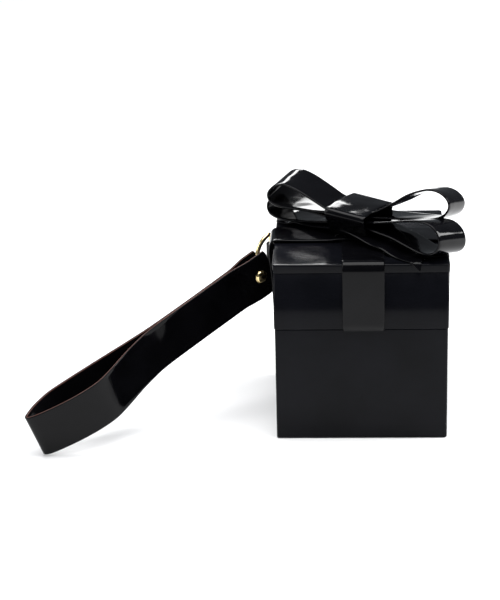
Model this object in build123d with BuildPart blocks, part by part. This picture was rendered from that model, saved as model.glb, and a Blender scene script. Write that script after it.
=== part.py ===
from build123d import *
import os
from math import cos, radians, sin, sqrt

# A hinged, patent-wrapped jewelry gift box with a layered ribbon bow and a wrist strap.
# Millimetres. The origin is the centre of the underside, +Z is up and -Y is the front.

# ---- Driving dimensions -------------------------------------------------------------

LID_HALF = 50.0            # half the outside width of the lid
BASE_HALF = 49.6           # half the outside width of the base
SEAM_Z = 68.0              # where the lid meets the base
TOP_Z = 107.4              # top of the lid, without the ribbons
WRAP = 0.8                 # patent wrap
CORNER = 1.6               # outside corner radius of the wrapped boxes
BASE_BOARD = 2.6           # greyboard of the base walls
BASE_FLOOR = 2.2           # greyboard of the base floor
LID_BOARD = 2.0            # greyboard of the lid walls
LID_TOP_BOARD = 2.4        # greyboard of the lid top
LINING = 0.5               # lining paper in the lid
TURN_OVER = 5.0            # how far the top wrap folds down the lid's sides
TURN_OVER_SKIN = 0.3

NECK_WALL = 1.6            # collar that stands up into the lid
NECK_RISE = 9.0
HINGE_Y = LID_HALF + 1.6   # hinge axis, behind the lid
HINGE_X = 30.0             # each hinge's distance from the centre
HINGE_LENGTH = 22.0
KNUCKLE_RADIUS = 1.5
HINGE_PIN_RADIUS = 0.8
LEAF = 0.6

TRAY_Z = 44.0              # underside of the lift-out tray
TRAY_HEIGHT = 26.0
TRAY_BOARD = 1.4
TRAY_GAP = 0.4
ROLL_COUNT = 6
ROLL_RADIUS = 6.4

RIBBON_WIDTH = 24.0
RIBBON = 1.2               # ribbon thickness
FLOAT_GAP = 0.4            # the crossing band rides this far above the band under it
BOW_CENTRE = (-1.4, 2.3)
KNOT_WIDTH = 27.0
KNOT_YAW = -42.0
BOW_RIVET_RADIUS = 1.5

RING_BAR = (-53.6, 26.0)   # X, Y of the D-ring's upright bar, beside the lid's left wall
RING_Z = 87.5
RING_YAW = 37.0            # the ring points this far forward of straight out from the wall
WIRE_RADIUS = 1.35
RING_ARC_RADIUS = 14.55    # centreline of the ring's curved side
RING_ARC_INSET = 4.0       # the curve's centre lies this far behind the bar
RING_CORNER = 1.7
HINGE_CLEARANCE = 0.35     # leather loops around the ring's wire
TAB_LEATHER = 1.3
TAB_HEIGHT = 16.0

STRAP_WIDTH = 28.0
STRAP_DROOP = 22.0         # the strap hangs this far below level
STRAP_SKIN = 0.8           # patent outside layer
STRAP_LINING = 0.6         # lining layer
STRAP_SLIP = -4.35         # the strap's middle sits this far below the ring's middle
RIVET_REACH = 17.5         # from the ring curve's centre to the rivet, along the strap
TONGUE = 0.9
TONGUE_WIDTH = 10.0

BASE_INNER = BASE_HALF - WRAP - BASE_BOARD
LID_INNER = LID_HALF - WRAP - LID_BOARD
LID_CLEAR = LID_INNER - LINING
NECK_INNER = BASE_INNER - NECK_WALL
NECK_TOP = SEAM_Z + NECK_RISE
FLOOR_TOP = WRAP + BASE_FLOOR
LID_BOARD_TOP = TOP_Z - WRAP
LID_CEILING = LID_BOARD_TOP - LID_TOP_BOARD

os.makedirs("parts", exist_ok=True)


def save(piece, label):
    piece.part.label = label
    export_step(piece.part, f"parts/{label}.step")


# ---- Base: a greyboard box, wrapped outside, with a collar glued inside --------------

with BuildPart() as base_board:
    with BuildSketch(Plane.XY.offset(WRAP)):
        RectangleRounded(2 * (BASE_HALF - WRAP), 2 * (BASE_HALF - WRAP), CORNER - WRAP)
    extrude(amount=SEAM_Z - WRAP)
    with BuildSketch(Plane.XY.offset(FLOOR_TOP)):
        Rectangle(2 * BASE_INNER, 2 * BASE_INNER)
    extrude(amount=SEAM_Z, mode=Mode.SUBTRACT)
save(base_board, "base_board")

BOTTOM_OPENING = 38.0      # half width of the bottom that the wrap leaves bare
with BuildPart() as base_wrap:
    with BuildSketch():
        RectangleRounded(2 * BASE_HALF, 2 * BASE_HALF, CORNER)
    extrude(amount=SEAM_Z)
    with BuildSketch(Plane.XY.offset(WRAP)):
        RectangleRounded(2 * (BASE_HALF - WRAP), 2 * (BASE_HALF - WRAP), CORNER - WRAP)
    extrude(amount=SEAM_Z, mode=Mode.SUBTRACT)
    with BuildSketch():
        Rectangle(2 * BOTTOM_OPENING, 2 * BOTTOM_OPENING)
    extrude(amount=WRAP, mode=Mode.SUBTRACT)
save(base_wrap, "base_wrap")

with BuildPart() as base_bottom_sheet:
    with BuildSketch():
        Rectangle(2 * BOTTOM_OPENING - 0.2, 2 * BOTTOM_OPENING - 0.2)
    extrude(amount=WRAP)
save(base_bottom_sheet, "base_bottom_sheet")

CATCH_X = 22.0             # two magnets in the lid's front wall, two keepers in the collar
CATCH_Z = SEAM_Z + 5.0
CATCH_RADIUS = 3.4
with BuildPart() as neck_collar:
    with BuildSketch(Plane.XY.offset(FLOOR_TOP)):
        Rectangle(2 * BASE_INNER, 2 * BASE_INNER)
        Rectangle(2 * NECK_INNER, 2 * NECK_INNER, mode=Mode.SUBTRACT)
    extrude(amount=NECK_TOP - FLOOR_TOP)
    rim = neck_collar.edges().group_by(Axis.Z)[-1]
    chamfer(rim, 0.5)
    with BuildSketch(Plane.XZ.offset(BASE_INNER)):
        with Locations((-CATCH_X, CATCH_Z), (CATCH_X, CATCH_Z)):
            Circle(CATCH_RADIUS)
    extrude(amount=-1.0, mode=Mode.SUBTRACT)
save(neck_collar, "neck_collar")

with BuildPart() as collar_keepers:
    with BuildSketch(Plane.XZ.offset(BASE_INNER)):
        with Locations((-CATCH_X, CATCH_Z), (CATCH_X, CATCH_Z)):
            Circle(CATCH_RADIUS)
    extrude(amount=-1.0)
save(collar_keepers, "collar_keepers")

FLOOR_PAD = 1.6
with BuildPart() as base_floor_pad:
    with BuildSketch(Plane.XY.offset(FLOOR_TOP)):
        RectangleRounded(2 * NECK_INNER - 0.6, 2 * NECK_INNER - 0.6, 1.0)
    extrude(amount=FLOOR_PAD)
save(base_floor_pad, "base_floor_pad")

LEDGE = 4.0                # two strips on the collar carry the tray
with BuildPart() as tray_ledges:
    with BuildSketch(Plane.XY.offset(FLOOR_TOP + FLOOR_PAD)):
        with Locations((NECK_INNER - LEDGE / 2, 0), (LEDGE / 2 - NECK_INNER, 0)):
            Rectangle(LEDGE, 2 * NECK_INNER - 1.0)
    extrude(amount=TRAY_Z - FLOOR_TOP - FLOOR_PAD)
save(tray_ledges, "tray_ledges")

# ---- Lift-out tray: ring rolls on the left, two wells on the right -------------------

TRAY_HALF = NECK_INNER - TRAY_GAP
TRAY_INNER = TRAY_HALF - TRAY_BOARD
TRAY_TOP = TRAY_Z + TRAY_HEIGHT
TRAY_FLOOR = TRAY_Z + TRAY_BOARD
with BuildPart() as tray_box:
    with BuildSketch(Plane.XY.offset(TRAY_Z)):
        RectangleRounded(2 * TRAY_HALF, 2 * TRAY_HALF, 1.0)
    extrude(amount=TRAY_HEIGHT)
    with BuildSketch(Plane.XY.offset(TRAY_FLOOR)):
        Rectangle(2 * TRAY_INNER, 2 * TRAY_INNER)
    extrude(amount=TRAY_HEIGHT, mode=Mode.SUBTRACT)
save(tray_box, "tray_box")

DIVIDER_HEIGHT = 21.0
with BuildPart() as tray_divider:
    with BuildSketch(Plane.XY.offset(TRAY_FLOOR)):
        Rectangle(TRAY_BOARD, 2 * TRAY_INNER)
        with Locations((TRAY_INNER / 2, 0)):
            Rectangle(TRAY_INNER, TRAY_BOARD)
    extrude(amount=DIVIDER_HEIGHT)
save(tray_divider, "tray_divider")

WELL_WALL = TRAY_BOARD / 2
WELL_SIDE = TRAY_INNER - WELL_WALL
WELL_CENTRE = (TRAY_INNER + WELL_WALL) / 2
WELL_PAD = 2.4
with BuildPart() as tray_well_pads:
    with BuildSketch(Plane.XY.offset(TRAY_FLOOR)):
        with Locations((WELL_CENTRE, -WELL_CENTRE), (WELL_CENTRE, WELL_CENTRE)):
            RectangleRounded(WELL_SIDE - 0.6, WELL_SIDE - 0.6, 2.0)
    extrude(amount=WELL_PAD)
save(tray_well_pads, "tray_well_pads")

ROLL_PITCH = 2 * TRAY_INNER / ROLL_COUNT
ROLL_LENGTH = WELL_SIDE - 0.8
ROLL_AXIS_Z = TRAY_FLOOR + 10.0
for index in range(ROLL_COUNT):
    roll_y = -TRAY_INNER + (index + 0.5) * ROLL_PITCH
    with BuildPart() as ring_roll:
        with BuildSketch(Plane.YZ.offset(-WELL_CENTRE)):
            with Locations((roll_y, ROLL_AXIS_Z)):
                Circle(ROLL_RADIUS)
            with Locations((roll_y, (TRAY_FLOOR + ROLL_AXIS_Z) / 2)):
                Rectangle(2 * ROLL_RADIUS, ROLL_AXIS_Z - TRAY_FLOOR)
        extrude(amount=ROLL_LENGTH / 2, both=True)
    save(ring_roll, f"ring_roll_{index + 1}")

PULL_WIDTH = 10.0
with BuildPart() as tray_pull_tab:
    with BuildSketch(Plane.XZ.offset(-WELL_CENTRE - PULL_WIDTH / 2)):
        with BuildLine() as pull_line:
            FilletPolyline(
                (TRAY_INNER - 0.45, TRAY_TOP - 12),
                (TRAY_INNER - 0.45, TRAY_TOP + 6),
                (TRAY_INNER - 7.5, TRAY_TOP + 6),
                (TRAY_INNER - 1.35, TRAY_TOP - 9),
                radius=[3.0, 2.4],
            )
        trace(pull_line.wires()[0], line_width=0.7)
    extrude(amount=PULL_WIDTH)
save(tray_pull_tab, "tray_pull_tab")

# ---- Lid: a greyboard cap, wrapped in two pieces, lined and padded --------------------

TAB_RIVET_Y = RING_BAR[1] + 12.5
TAB_RIVET_RADIUS = 1.4
with BuildPart() as lid_board:
    with BuildSketch(Plane.XY.offset(SEAM_Z)):
        RectangleRounded(2 * (LID_HALF - WRAP), 2 * (LID_HALF - WRAP), CORNER - WRAP)
    extrude(amount=LID_BOARD_TOP - SEAM_Z)
    with BuildSketch(Plane.XY.offset(SEAM_Z)):
        Rectangle(2 * LID_INNER, 2 * LID_INNER)
    extrude(amount=LID_CEILING - SEAM_Z, mode=Mode.SUBTRACT)
    with BuildSketch(Plane.XY.offset(LID_CEILING)):
        Circle(BOW_RIVET_RADIUS + 0.05)
    extrude(amount=LID_TOP_BOARD, mode=Mode.SUBTRACT)
    with BuildSketch(Plane.YZ.offset(-LID_HALF)):
        with Locations((TAB_RIVET_Y, RING_Z)):
            Circle(TAB_RIVET_RADIUS + 0.05)
    extrude(amount=WRAP + LID_BOARD, mode=Mode.SUBTRACT)
    with BuildSketch(Plane.XZ.offset(LID_INNER)):
        with Locations((-CATCH_X, CATCH_Z), (CATCH_X, CATCH_Z)):
            Circle(CATCH_RADIUS)
    extrude(amount=1.4, mode=Mode.SUBTRACT)
save(lid_board, "lid_board")

with BuildPart() as lid_magnets:
    with BuildSketch(Plane.XZ.offset(LID_INNER)):
        with Locations((-CATCH_X, CATCH_Z), (CATCH_X, CATCH_Z)):
            Circle(CATCH_RADIUS)
    extrude(amount=1.4)
save(lid_magnets, "lid_magnets")

with BuildPart() as lid_side_wrap:
    with BuildSketch(Plane.XY.offset(SEAM_Z)):
        RectangleRounded(2 * LID_HALF, 2 * LID_HALF, CORNER)
        RectangleRounded(2 * (LID_HALF - WRAP), 2 * (LID_HALF - WRAP), CORNER - WRAP, mode=Mode.SUBTRACT)
    extrude(amount=LID_BOARD_TOP - SEAM_Z)
    with BuildSketch(Plane.YZ.offset(-LID_HALF)):
        with Locations((TAB_RIVET_Y, RING_Z)):
            Circle(TAB_RIVET_RADIUS + 0.05)
    extrude(amount=WRAP, mode=Mode.SUBTRACT)
save(lid_side_wrap, "lid_side_wrap")

SKIRT_HALF = LID_HALF + TURN_OVER_SKIN
with BuildPart() as lid_top_wrap:
    with BuildSketch(Plane.XY.offset(TOP_Z - TURN_OVER)):
        RectangleRounded(2 * SKIRT_HALF, 2 * SKIRT_HALF, CORNER + TURN_OVER_SKIN)
    extrude(amount=TURN_OVER)
    fillet(lid_top_wrap.edges().group_by(Axis.Z)[-1], 0.6)
    with BuildSketch(Plane.XY.offset(TOP_Z - TURN_OVER)):
        RectangleRounded(2 * LID_HALF, 2 * LID_HALF, CORNER)
    extrude(amount=TURN_OVER - WRAP, mode=Mode.SUBTRACT)
    with BuildSketch(Plane.XY.offset(LID_BOARD_TOP)):
        Circle(BOW_RIVET_RADIUS + 0.05)
    extrude(amount=WRAP, mode=Mode.SUBTRACT)
save(lid_top_wrap, "lid_top_wrap")

BOW_WASHER_RADIUS = 3.5
TAB_WASHER_RADIUS = 3.0
with BuildPart() as lid_lining:
    with BuildSketch(Plane.XY.offset(SEAM_Z)):
        Rectangle(2 * LID_INNER, 2 * LID_INNER)
    extrude(amount=LID_CEILING - SEAM_Z)
    with BuildSketch(Plane.XY.offset(SEAM_Z)):
        Rectangle(2 * LID_CLEAR, 2 * LID_CLEAR)
    extrude(amount=LID_CEILING - LINING - SEAM_Z, mode=Mode.SUBTRACT)
    with BuildSketch(Plane.XY.offset(LID_CEILING - LINING)):
        Circle(BOW_WASHER_RADIUS + 0.05)
    extrude(amount=LINING, mode=Mode.SUBTRACT)
    with BuildSketch(Plane.YZ.offset(-LID_INNER)):
        with Locations((TAB_RIVET_Y, RING_Z)):
            Circle(TAB_WASHER_RADIUS + 0.05)
    extrude(amount=LINING, mode=Mode.SUBTRACT)
save(lid_lining, "lid_lining")

LID_PAD = 5.0
with BuildPart() as lid_pad:
    with BuildSketch(Plane.XY.offset(LID_CEILING - LINING - LID_PAD)):
        RectangleRounded(2 * LID_CLEAR - 3.0, 2 * LID_CLEAR - 3.0, 3.0)
    extrude(amount=LID_PAD)
save(lid_pad, "lid_pad")

# ---- Two butt hinges on the back ------------------------------------------------------

LEAF_HEIGHT = 11.0
NAIL_RADIUS = 0.9
NAIL_INSET = 4.5
NAIL_DROP = 7.5            # from the hinge axis to the nails
WEB_INSET = 0.8            # the web from plate to knuckle stops this far before the axis


def knuckle_plane(x):
    return Plane(origin=(x, HINGE_Y, SEAM_Z), x_dir=(0, 1, 0), z_dir=(1, 0, 0))


def hinge_leaf(side, wall_y, spans):
    """One leaf of each hinge: a plate on the back wall at wall_y with knuckles on spans of its length."""
    with BuildPart() as leaves:
        for centre in (-HINGE_X, HINGE_X):
            near = KNUCKLE_RADIUS + 0.2
            with Locations((centre, wall_y + LEAF / 2, SEAM_Z + side * (near + LEAF_HEIGHT) / 2)):
                Box(HINGE_LENGTH, LEAF, LEAF_HEIGHT - near)
            for start, end in spans:
                with BuildSketch(knuckle_plane(centre - HINGE_LENGTH / 2 + start)):
                    Circle(KNUCKLE_RADIUS)
                    with Locations((-(HINGE_Y - wall_y + WEB_INSET) / 2, side * 1.4)):
                        Rectangle(HINGE_Y - wall_y - WEB_INSET, 1.6)
                extrude(amount=end - start)
            with BuildSketch(knuckle_plane(centre - HINGE_LENGTH / 2)):
                Circle(HINGE_PIN_RADIUS + 0.05)
            extrude(amount=HINGE_LENGTH, mode=Mode.SUBTRACT)
            with BuildSketch(Plane.XZ.offset(-wall_y)):
                for nail in (-HINGE_LENGTH / 2 + NAIL_INSET, HINGE_LENGTH / 2 - NAIL_INSET):
                    with Locations((centre + nail, SEAM_Z + side * NAIL_DROP)):
                        Circle(NAIL_RADIUS + 0.05)
            extrude(amount=-LEAF, mode=Mode.SUBTRACT)
    return leaves


def hinge_nails(side, wall_y):
    """Two domed nails in each leaf, standing on the wall inside the leaf's holes."""
    with BuildPart() as nails:
        for centre in (-HINGE_X, HINGE_X):
            for nail in (-HINGE_LENGTH / 2 + NAIL_INSET, HINGE_LENGTH / 2 - NAIL_INSET):
                spot = Plane(origin=(centre + nail, wall_y, SEAM_Z + side * NAIL_DROP), z_dir=(0, 1, 0))
                with BuildSketch(spot):
                    Circle(NAIL_RADIUS)
                extrude(amount=LEAF)
                with BuildSketch(spot.offset(LEAF)):
                    Circle(1.5)
                extrude(amount=0.5, taper=30)
    return nails


knuckle = HINGE_LENGTH / 5
BASE_SPANS = [(0, knuckle - 0.1), (2 * knuckle + 0.1, 3 * knuckle - 0.1), (4 * knuckle + 0.1, HINGE_LENGTH)]
LID_SPANS = [(knuckle + 0.1, 2 * knuckle - 0.1), (3 * knuckle + 0.1, 4 * knuckle - 0.1)]
save(hinge_leaf(-1, BASE_HALF, BASE_SPANS), "hinge_base_leaves")
save(hinge_leaf(1, LID_HALF, LID_SPANS), "hinge_lid_leaves")
save(hinge_nails(-1, BASE_HALF), "hinge_base_nails")
save(hinge_nails(1, LID_HALF), "hinge_lid_nails")

with BuildPart() as hinge_pins:
    for centre in (-HINGE_X, HINGE_X):
        with BuildSketch(knuckle_plane(centre - HINGE_LENGTH / 2)):
            Circle(HINGE_PIN_RADIUS)
        extrude(amount=HINGE_LENGTH)
save(hinge_pins, "hinge_pins")

# ---- Ribbon bands glued over the lid ---------------------------------------------------

BAND_FACE = SKIRT_HALF + RIBBON / 2      # middle of a band where it lies on the lid's side
FLAT_BAND_Z = TOP_Z + RIBBON / 2
FLOATING_BAND_Z = TOP_Z + 1.5 * RIBBON + FLOAT_GAP
BAND_HANG = 0.5                          # the front end reaches this far below the lid


def rivet_hole(low, high):
    """The bow rivet's hole, cut through the part being built."""
    with Locations((0, 0, (low + high) / 2)):
        Cylinder(BOW_RIVET_RADIUS + 0.05, high - low, mode=Mode.SUBTRACT)


with BuildPart() as band_front_back:
    with BuildSketch(Plane.YZ):
        with BuildLine() as flat_path:
            FilletPolyline(
                (-BAND_FACE, SEAM_Z - BAND_HANG),
                (-BAND_FACE, FLAT_BAND_Z),
                (BAND_FACE, FLAT_BAND_Z),
                (BAND_FACE, SEAM_Z + 0.4),
                radius=RIBBON,
            )
        trace(flat_path.wires()[0], line_width=RIBBON)
    extrude(amount=RIBBON_WIDTH / 2, both=True)
    rivet_hole(TOP_Z - 1, TOP_Z + 2 * RIBBON)
save(band_front_back, "band_front_back")

BAND_BULGE = 2.2                         # how far the floating band stands off near the top
with BuildPart() as band_left_right:
    with BuildSketch(Plane.XZ):
        with BuildLine() as floating_path:
            FilletPolyline(
                (-BAND_FACE, SEAM_Z + 0.4),
                (-BAND_FACE, SEAM_Z + 9),
                (-BAND_FACE - BAND_BULGE, TOP_Z - 9),
                (-BAND_FACE - 1.2, FLOATING_BAND_Z),
                (BAND_FACE + 1.2, FLOATING_BAND_Z),
                (BAND_FACE + BAND_BULGE, TOP_Z - 9),
                (BAND_FACE, SEAM_Z + 9),
                (BAND_FACE, SEAM_Z + 0.4),
                radius=[40, 14, 3, 3, 14, 40],
            )
        trace(floating_path.wires()[0], line_width=RIBBON)
    extrude(amount=RIBBON_WIDTH / 2, both=True)
    rivet_hole(TOP_Z + RIBBON, FLOATING_BAND_Z + RIBBON)
save(band_left_right, "band_left_right")

# ---- Bow: a tail strip, two lower loops, two upper loops and the band round them -------


def bow_direction(yaw, tilt):
    """The direction across a ribbon that runs at yaw in plan and tilts up towards the back."""
    level = cos(radians(tilt))
    return Vector(-sin(radians(yaw)) * level, cos(radians(yaw)) * level, sin(radians(tilt)))


def bow_plane(yaw, tilt, width):
    """The upright plane along a ribbon's front edge, in which X is the distance along the bow."""
    across = bow_direction(yaw, tilt)
    front = Vector(BOW_CENTRE[0], BOW_CENTRE[1], 0) - across * (width / 2)
    return Plane(origin=front, x_dir=(cos(radians(yaw)), sin(radians(yaw)), 0),
                 z_dir=(sin(radians(yaw)), -cos(radians(yaw)), 0))


def ribbon(route, yaw, tilt=0.0, closed=True):
    """A strip whose middle line has a corner at each (along, height, radius), carried across its width."""
    corners = route if closed else route[1:-1]
    with BuildPart() as strip:
        with BuildSketch(bow_plane(yaw, tilt, RIBBON_WIDTH)):
            with BuildLine() as middle:
                FilletPolyline(*[(along, height) for along, height, _ in route],
                               radius=[radius for _, _, radius in corners], close=closed)
            trace(middle.wires()[0], line_width=RIBBON)
        extrude(amount=RIBBON_WIDTH, dir=bow_direction(yaw, tilt))
    return strip.part


TAIL_YAW = -45.0
TAIL_Z = TOP_Z + RIBBON / 2 + 0.15       # middle of a tail where it lies on the lid
OVER_BAND_Z = FLOATING_BAND_Z + RIBBON + 0.1
TAIL_ENDS = (-58.0, 60.0)
NOTCH_DEPTH = 9.0
tail_blank = ribbon(
    [(TAIL_ENDS[0], TAIL_Z, 0), (-45, TAIL_Z, 8), (-37, OVER_BAND_Z, 8), (-27, OVER_BAND_Z, 12),
     (-12, 113.4, 20), (0, 115.2, 30), (12, 114.4, 20), (26, OVER_BAND_Z + 0.1, 12),
     (34, OVER_BAND_Z, 10), (42, TAIL_Z, 8), (TAIL_ENDS[1], TAIL_Z, 0)],
    TAIL_YAW, closed=False)
tail_plane = Plane(origin=(BOW_CENTRE[0], BOW_CENTRE[1], TOP_Z - 1),
                   x_dir=(cos(radians(TAIL_YAW)), sin(radians(TAIL_YAW)), 0), z_dir=(0, 0, 1))
with BuildPart() as bow_tail_strip:
    add(tail_blank)
    with BuildSketch(tail_plane):
        for end in TAIL_ENDS:
            point = end * (1 - NOTCH_DEPTH / abs(end))
            with BuildLine():
                Polyline((end, RIBBON_WIDTH / 2 - 1), (point, 0), (end, 1 - RIBBON_WIDTH / 2), close=True)
            make_face()
    extrude(amount=4, mode=Mode.SUBTRACT)
save(bow_tail_strip, "bow_tail_strip")

LOWER_RIGHT_YAW = -45.0
lower_right_loop = ribbon(
    [(0.8, 119.2, 0.7), (17, 119.7, 14), (37, 122.2, 30), (58, 125.8, 25), (71, 125.4, 7), (72.4, 112.9, 6),
     (60, 110.7, 12), (37, 115.3, 40), (17, 117.6, 14), (0.8, 117.6, 0.7)],
    LOWER_RIGHT_YAW, -5)
lower_left_loop = ribbon(
    [(-0.8, 119.2, 0.7), (-16, 119.4, 14), (-40, 120.6, 30), (-59, 121.6, 4.2), (-62.5, 113.2, 4),
     (-52, 111.6, 12), (-38, 112.4, 25), (-15, 116.4, 14), (-0.8, 117.6, 0.7)],
    KNOT_YAW + 2)
with BuildPart() as bow_lower_loops:
    add(lower_right_loop)
    add(lower_left_loop)
save(bow_lower_loops, "bow_lower_loops")

UPPER_LEFT_YAW = -26.0
UPPER_RIGHT_YAW = -23.0
upper_left_loop = ribbon(
    [(-0.8, 124.1, 0.7), (-15, 124.2, 10), (-36, 136.4, 30), (-47, 139.2, 9), (-55, 132, 7), (-51, 125.4, 6),
     (-41, 123.6, 20), (-15, 122.7, 14), (-0.8, 122.6, 0.7)],
    UPPER_LEFT_YAW, 5)
upper_right_loop = ribbon(
    [(0.8, 124.0, 0.7), (15, 123.9, 10), (31, 133.6, 40), (44, 142.2, 12), (58, 142.2, 9), (64, 134.5, 7),
     (57, 127.4, 10), (38, 125.2, 30), (15, 122.4, 14), (0.8, 122.4, 0.7)],
    UPPER_RIGHT_YAW, -6)
with BuildPart() as bow_upper_loops:
    add(upper_left_loop)
    add(upper_right_loop)
save(bow_upper_loops, "bow_upper_loops")

KNOT_BOTTOM = FLOATING_BAND_Z + RIBBON + 0.1
KNOT_TOP = 127.4
KNOT_HALF = 18.4
with BuildPart() as bow_knot_band:
    across_knot = (-sin(radians(KNOT_YAW)), cos(radians(KNOT_YAW)), 0)
    along_knot = (cos(radians(KNOT_YAW)), sin(radians(KNOT_YAW)), 0)
    with BuildSketch(Plane(origin=(BOW_CENTRE[0], BOW_CENTRE[1], 0), x_dir=across_knot, z_dir=along_knot)):
        with BuildLine() as knot_line:
            FilletPolyline(
                (-KNOT_HALF, KNOT_BOTTOM), (-KNOT_HALF, KNOT_TOP - 0.4), (0, KNOT_TOP), (KNOT_HALF, KNOT_TOP - 0.4),
                (KNOT_HALF, KNOT_BOTTOM), radius=[2.5, 2.0, 60, 2.0, 2.5], close=True)
        trace(knot_line.wires()[0], line_width=RIBBON)
    extrude(amount=KNOT_WIDTH / 2, both=True)
    rivet_hole(KNOT_BOTTOM - RIBBON, KNOT_BOTTOM + RIBBON)
save(bow_knot_band, "bow_knot_band")

with BuildPart() as bow_rivet:
    with BuildSketch(Plane.XY.offset(LID_CEILING - LINING)):
        Circle(BOW_WASHER_RADIUS)
    extrude(amount=LINING)
    with BuildSketch(Plane.XY.offset(LID_CEILING)):
        Circle(BOW_RIVET_RADIUS)
    extrude(amount=KNOT_BOTTOM + RIBBON / 2 - LID_CEILING)
    with BuildSketch(Plane.XY.offset(KNOT_BOTTOM + RIBBON / 2)):
        Circle(3.2)
    extrude(amount=0.8, taper=35)
save(bow_rivet, "bow_rivet")

# ---- Ring tab on the lid's left wall, and the D-ring that swings in it ------------------

LOOP_INNER = WIRE_RADIUS + HINGE_CLEARANCE
LOOP_OUTER = LOOP_INNER + TAB_LEATHER
TAB_ROOT_Y = RING_BAR[1] + 7.0          # where the two layers of leather come together
TAB_END_Y = RING_BAR[1] + 19.0
with BuildPart() as ring_tab:
    with BuildSketch(Plane.XY.offset(RING_Z)):
        with Locations(RING_BAR):
            Circle(LOOP_OUTER)
        with Locations((-LID_HALF - TAB_LEATHER, TAB_ROOT_Y)):
            Rectangle(2 * TAB_LEATHER, 1.0)
        make_hull()
        with Locations((-LID_HALF - TAB_LEATHER, (TAB_ROOT_Y + TAB_END_Y) / 2)):
            Rectangle(2 * TAB_LEATHER, TAB_END_Y - TAB_ROOT_Y)
        with Locations(RING_BAR):
            Circle(LOOP_INNER, mode=Mode.SUBTRACT)
    extrude(amount=TAB_HEIGHT / 2, both=True)
    with BuildSketch(Plane.YZ.offset(-LID_HALF - 4 * TAB_LEATHER)):
        with Locations((TAB_RIVET_Y, RING_Z)):
            Circle(TAB_RIVET_RADIUS + 0.05)
    extrude(amount=4 * TAB_LEATHER, mode=Mode.SUBTRACT)
save(ring_tab, "ring_tab")

TAB_FACE_X = -LID_HALF - 2 * TAB_LEATHER
with BuildPart() as tab_rivet:
    with BuildSketch(Plane.YZ.offset(TAB_FACE_X)):
        with Locations((TAB_RIVET_Y, RING_Z)):
            Circle(TAB_RIVET_RADIUS)
    extrude(amount=-LID_INNER - TAB_FACE_X)
    with BuildSketch(Plane.YZ.offset(-LID_INNER)):
        with Locations((TAB_RIVET_Y, RING_Z)):
            Circle(TAB_WASHER_RADIUS)
    extrude(amount=LINING)
    with BuildSketch(Plane.YZ.offset(TAB_FACE_X)):
        with Locations((TAB_RIVET_Y, RING_Z)):
            Circle(3.4)
    extrude(amount=-1.1, taper=40)
save(tab_rivet, "tab_rivet")

ring_out = Vector(-cos(radians(RING_YAW)), -sin(radians(RING_YAW)), 0)
ring_normal = Vector(-sin(radians(RING_YAW)), cos(radians(RING_YAW)), 0)
ring_plane = Plane(origin=(RING_BAR[0], RING_BAR[1], RING_Z), x_dir=ring_out, z_dir=ring_normal)
with BuildSketch(ring_plane) as ring_outline:
    with Locations((-RING_ARC_INSET, 0)):
        Circle(RING_ARC_RADIUS)
    with Locations((RING_ARC_RADIUS, 0)):
        Rectangle(2 * RING_ARC_RADIUS, 4 * RING_ARC_RADIUS, mode=Mode.INTERSECT)
    fillet(ring_outline.vertices(), RING_CORNER)
ring_path = ring_outline.sketch.face().outer_wire()
with BuildPart() as d_ring:
    with BuildSketch(Plane(origin=ring_path @ 0, z_dir=ring_path % 0)):
        Circle(WIRE_RADIUS)
    sweep(path=ring_path)
save(d_ring, "d_ring")

# ---- Wrist strap: one long strip folded in half, its ends riveted around the ring --------
# The strap lies in its own frame: X along it from the ring curve's centre, Y across its
# thickness towards the back, Z across its width.

strap_along = ring_out * cos(radians(STRAP_DROOP)) - Vector(0, 0, sin(radians(STRAP_DROOP)))
strap_across = ring_out * sin(radians(STRAP_DROOP)) + Vector(0, 0, cos(radians(STRAP_DROOP)))
ring_centre = Vector(RING_BAR[0], RING_BAR[1], RING_Z) - ring_out * RING_ARC_INSET
strap_origin = ring_centre + strap_across * STRAP_SLIP
strap_plane = Plane(origin=strap_origin, x_dir=strap_along, z_dir=-strap_across)

FLAP_END = RIVET_REACH - 7.5
BACK_END = RIVET_REACH - 6.0
TONGUE_LIMIT = WIRE_RADIUS + HINGE_CLEARANCE + TONGUE
NEAR = TONGUE_LIMIT + STRAP_LINING       # where skin and lining meet, beside the ring
FLAT = STRAP_LINING + 0.05               # the same, where the two runs lie together
LOOP_END = RIVET_REACH + 169.0           # far end of the wrist loop
STRAP_ROUTE = [
    (FLAP_END, -NEAR, 0), (RIVET_REACH + 5, -NEAR, 20), (RIVET_REACH + 17, -FLAT, 20),
    (RIVET_REACH + 80, -FLAT, 70), (RIVET_REACH + 124, -16.2, 34), (LOOP_END + 3.5, -2.6, 4.2),
    (LOOP_END - 3, 4.6, 3.6), (RIVET_REACH + 151, 9.8, 12), (RIVET_REACH + 64, FLAT, 90),
    (RIVET_REACH + 16, FLAT, 20), (RIVET_REACH + 5, NEAR, 20), (BACK_END, NEAR, 0),
]

rivet_point = strap_origin + strap_along * RIVET_REACH
RIVET_RADIUS = 1.5
END_ROUNDING = 8.0
face_plane = Plane(origin=strap_origin, x_dir=strap_along, z_dir=ring_normal)


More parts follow.
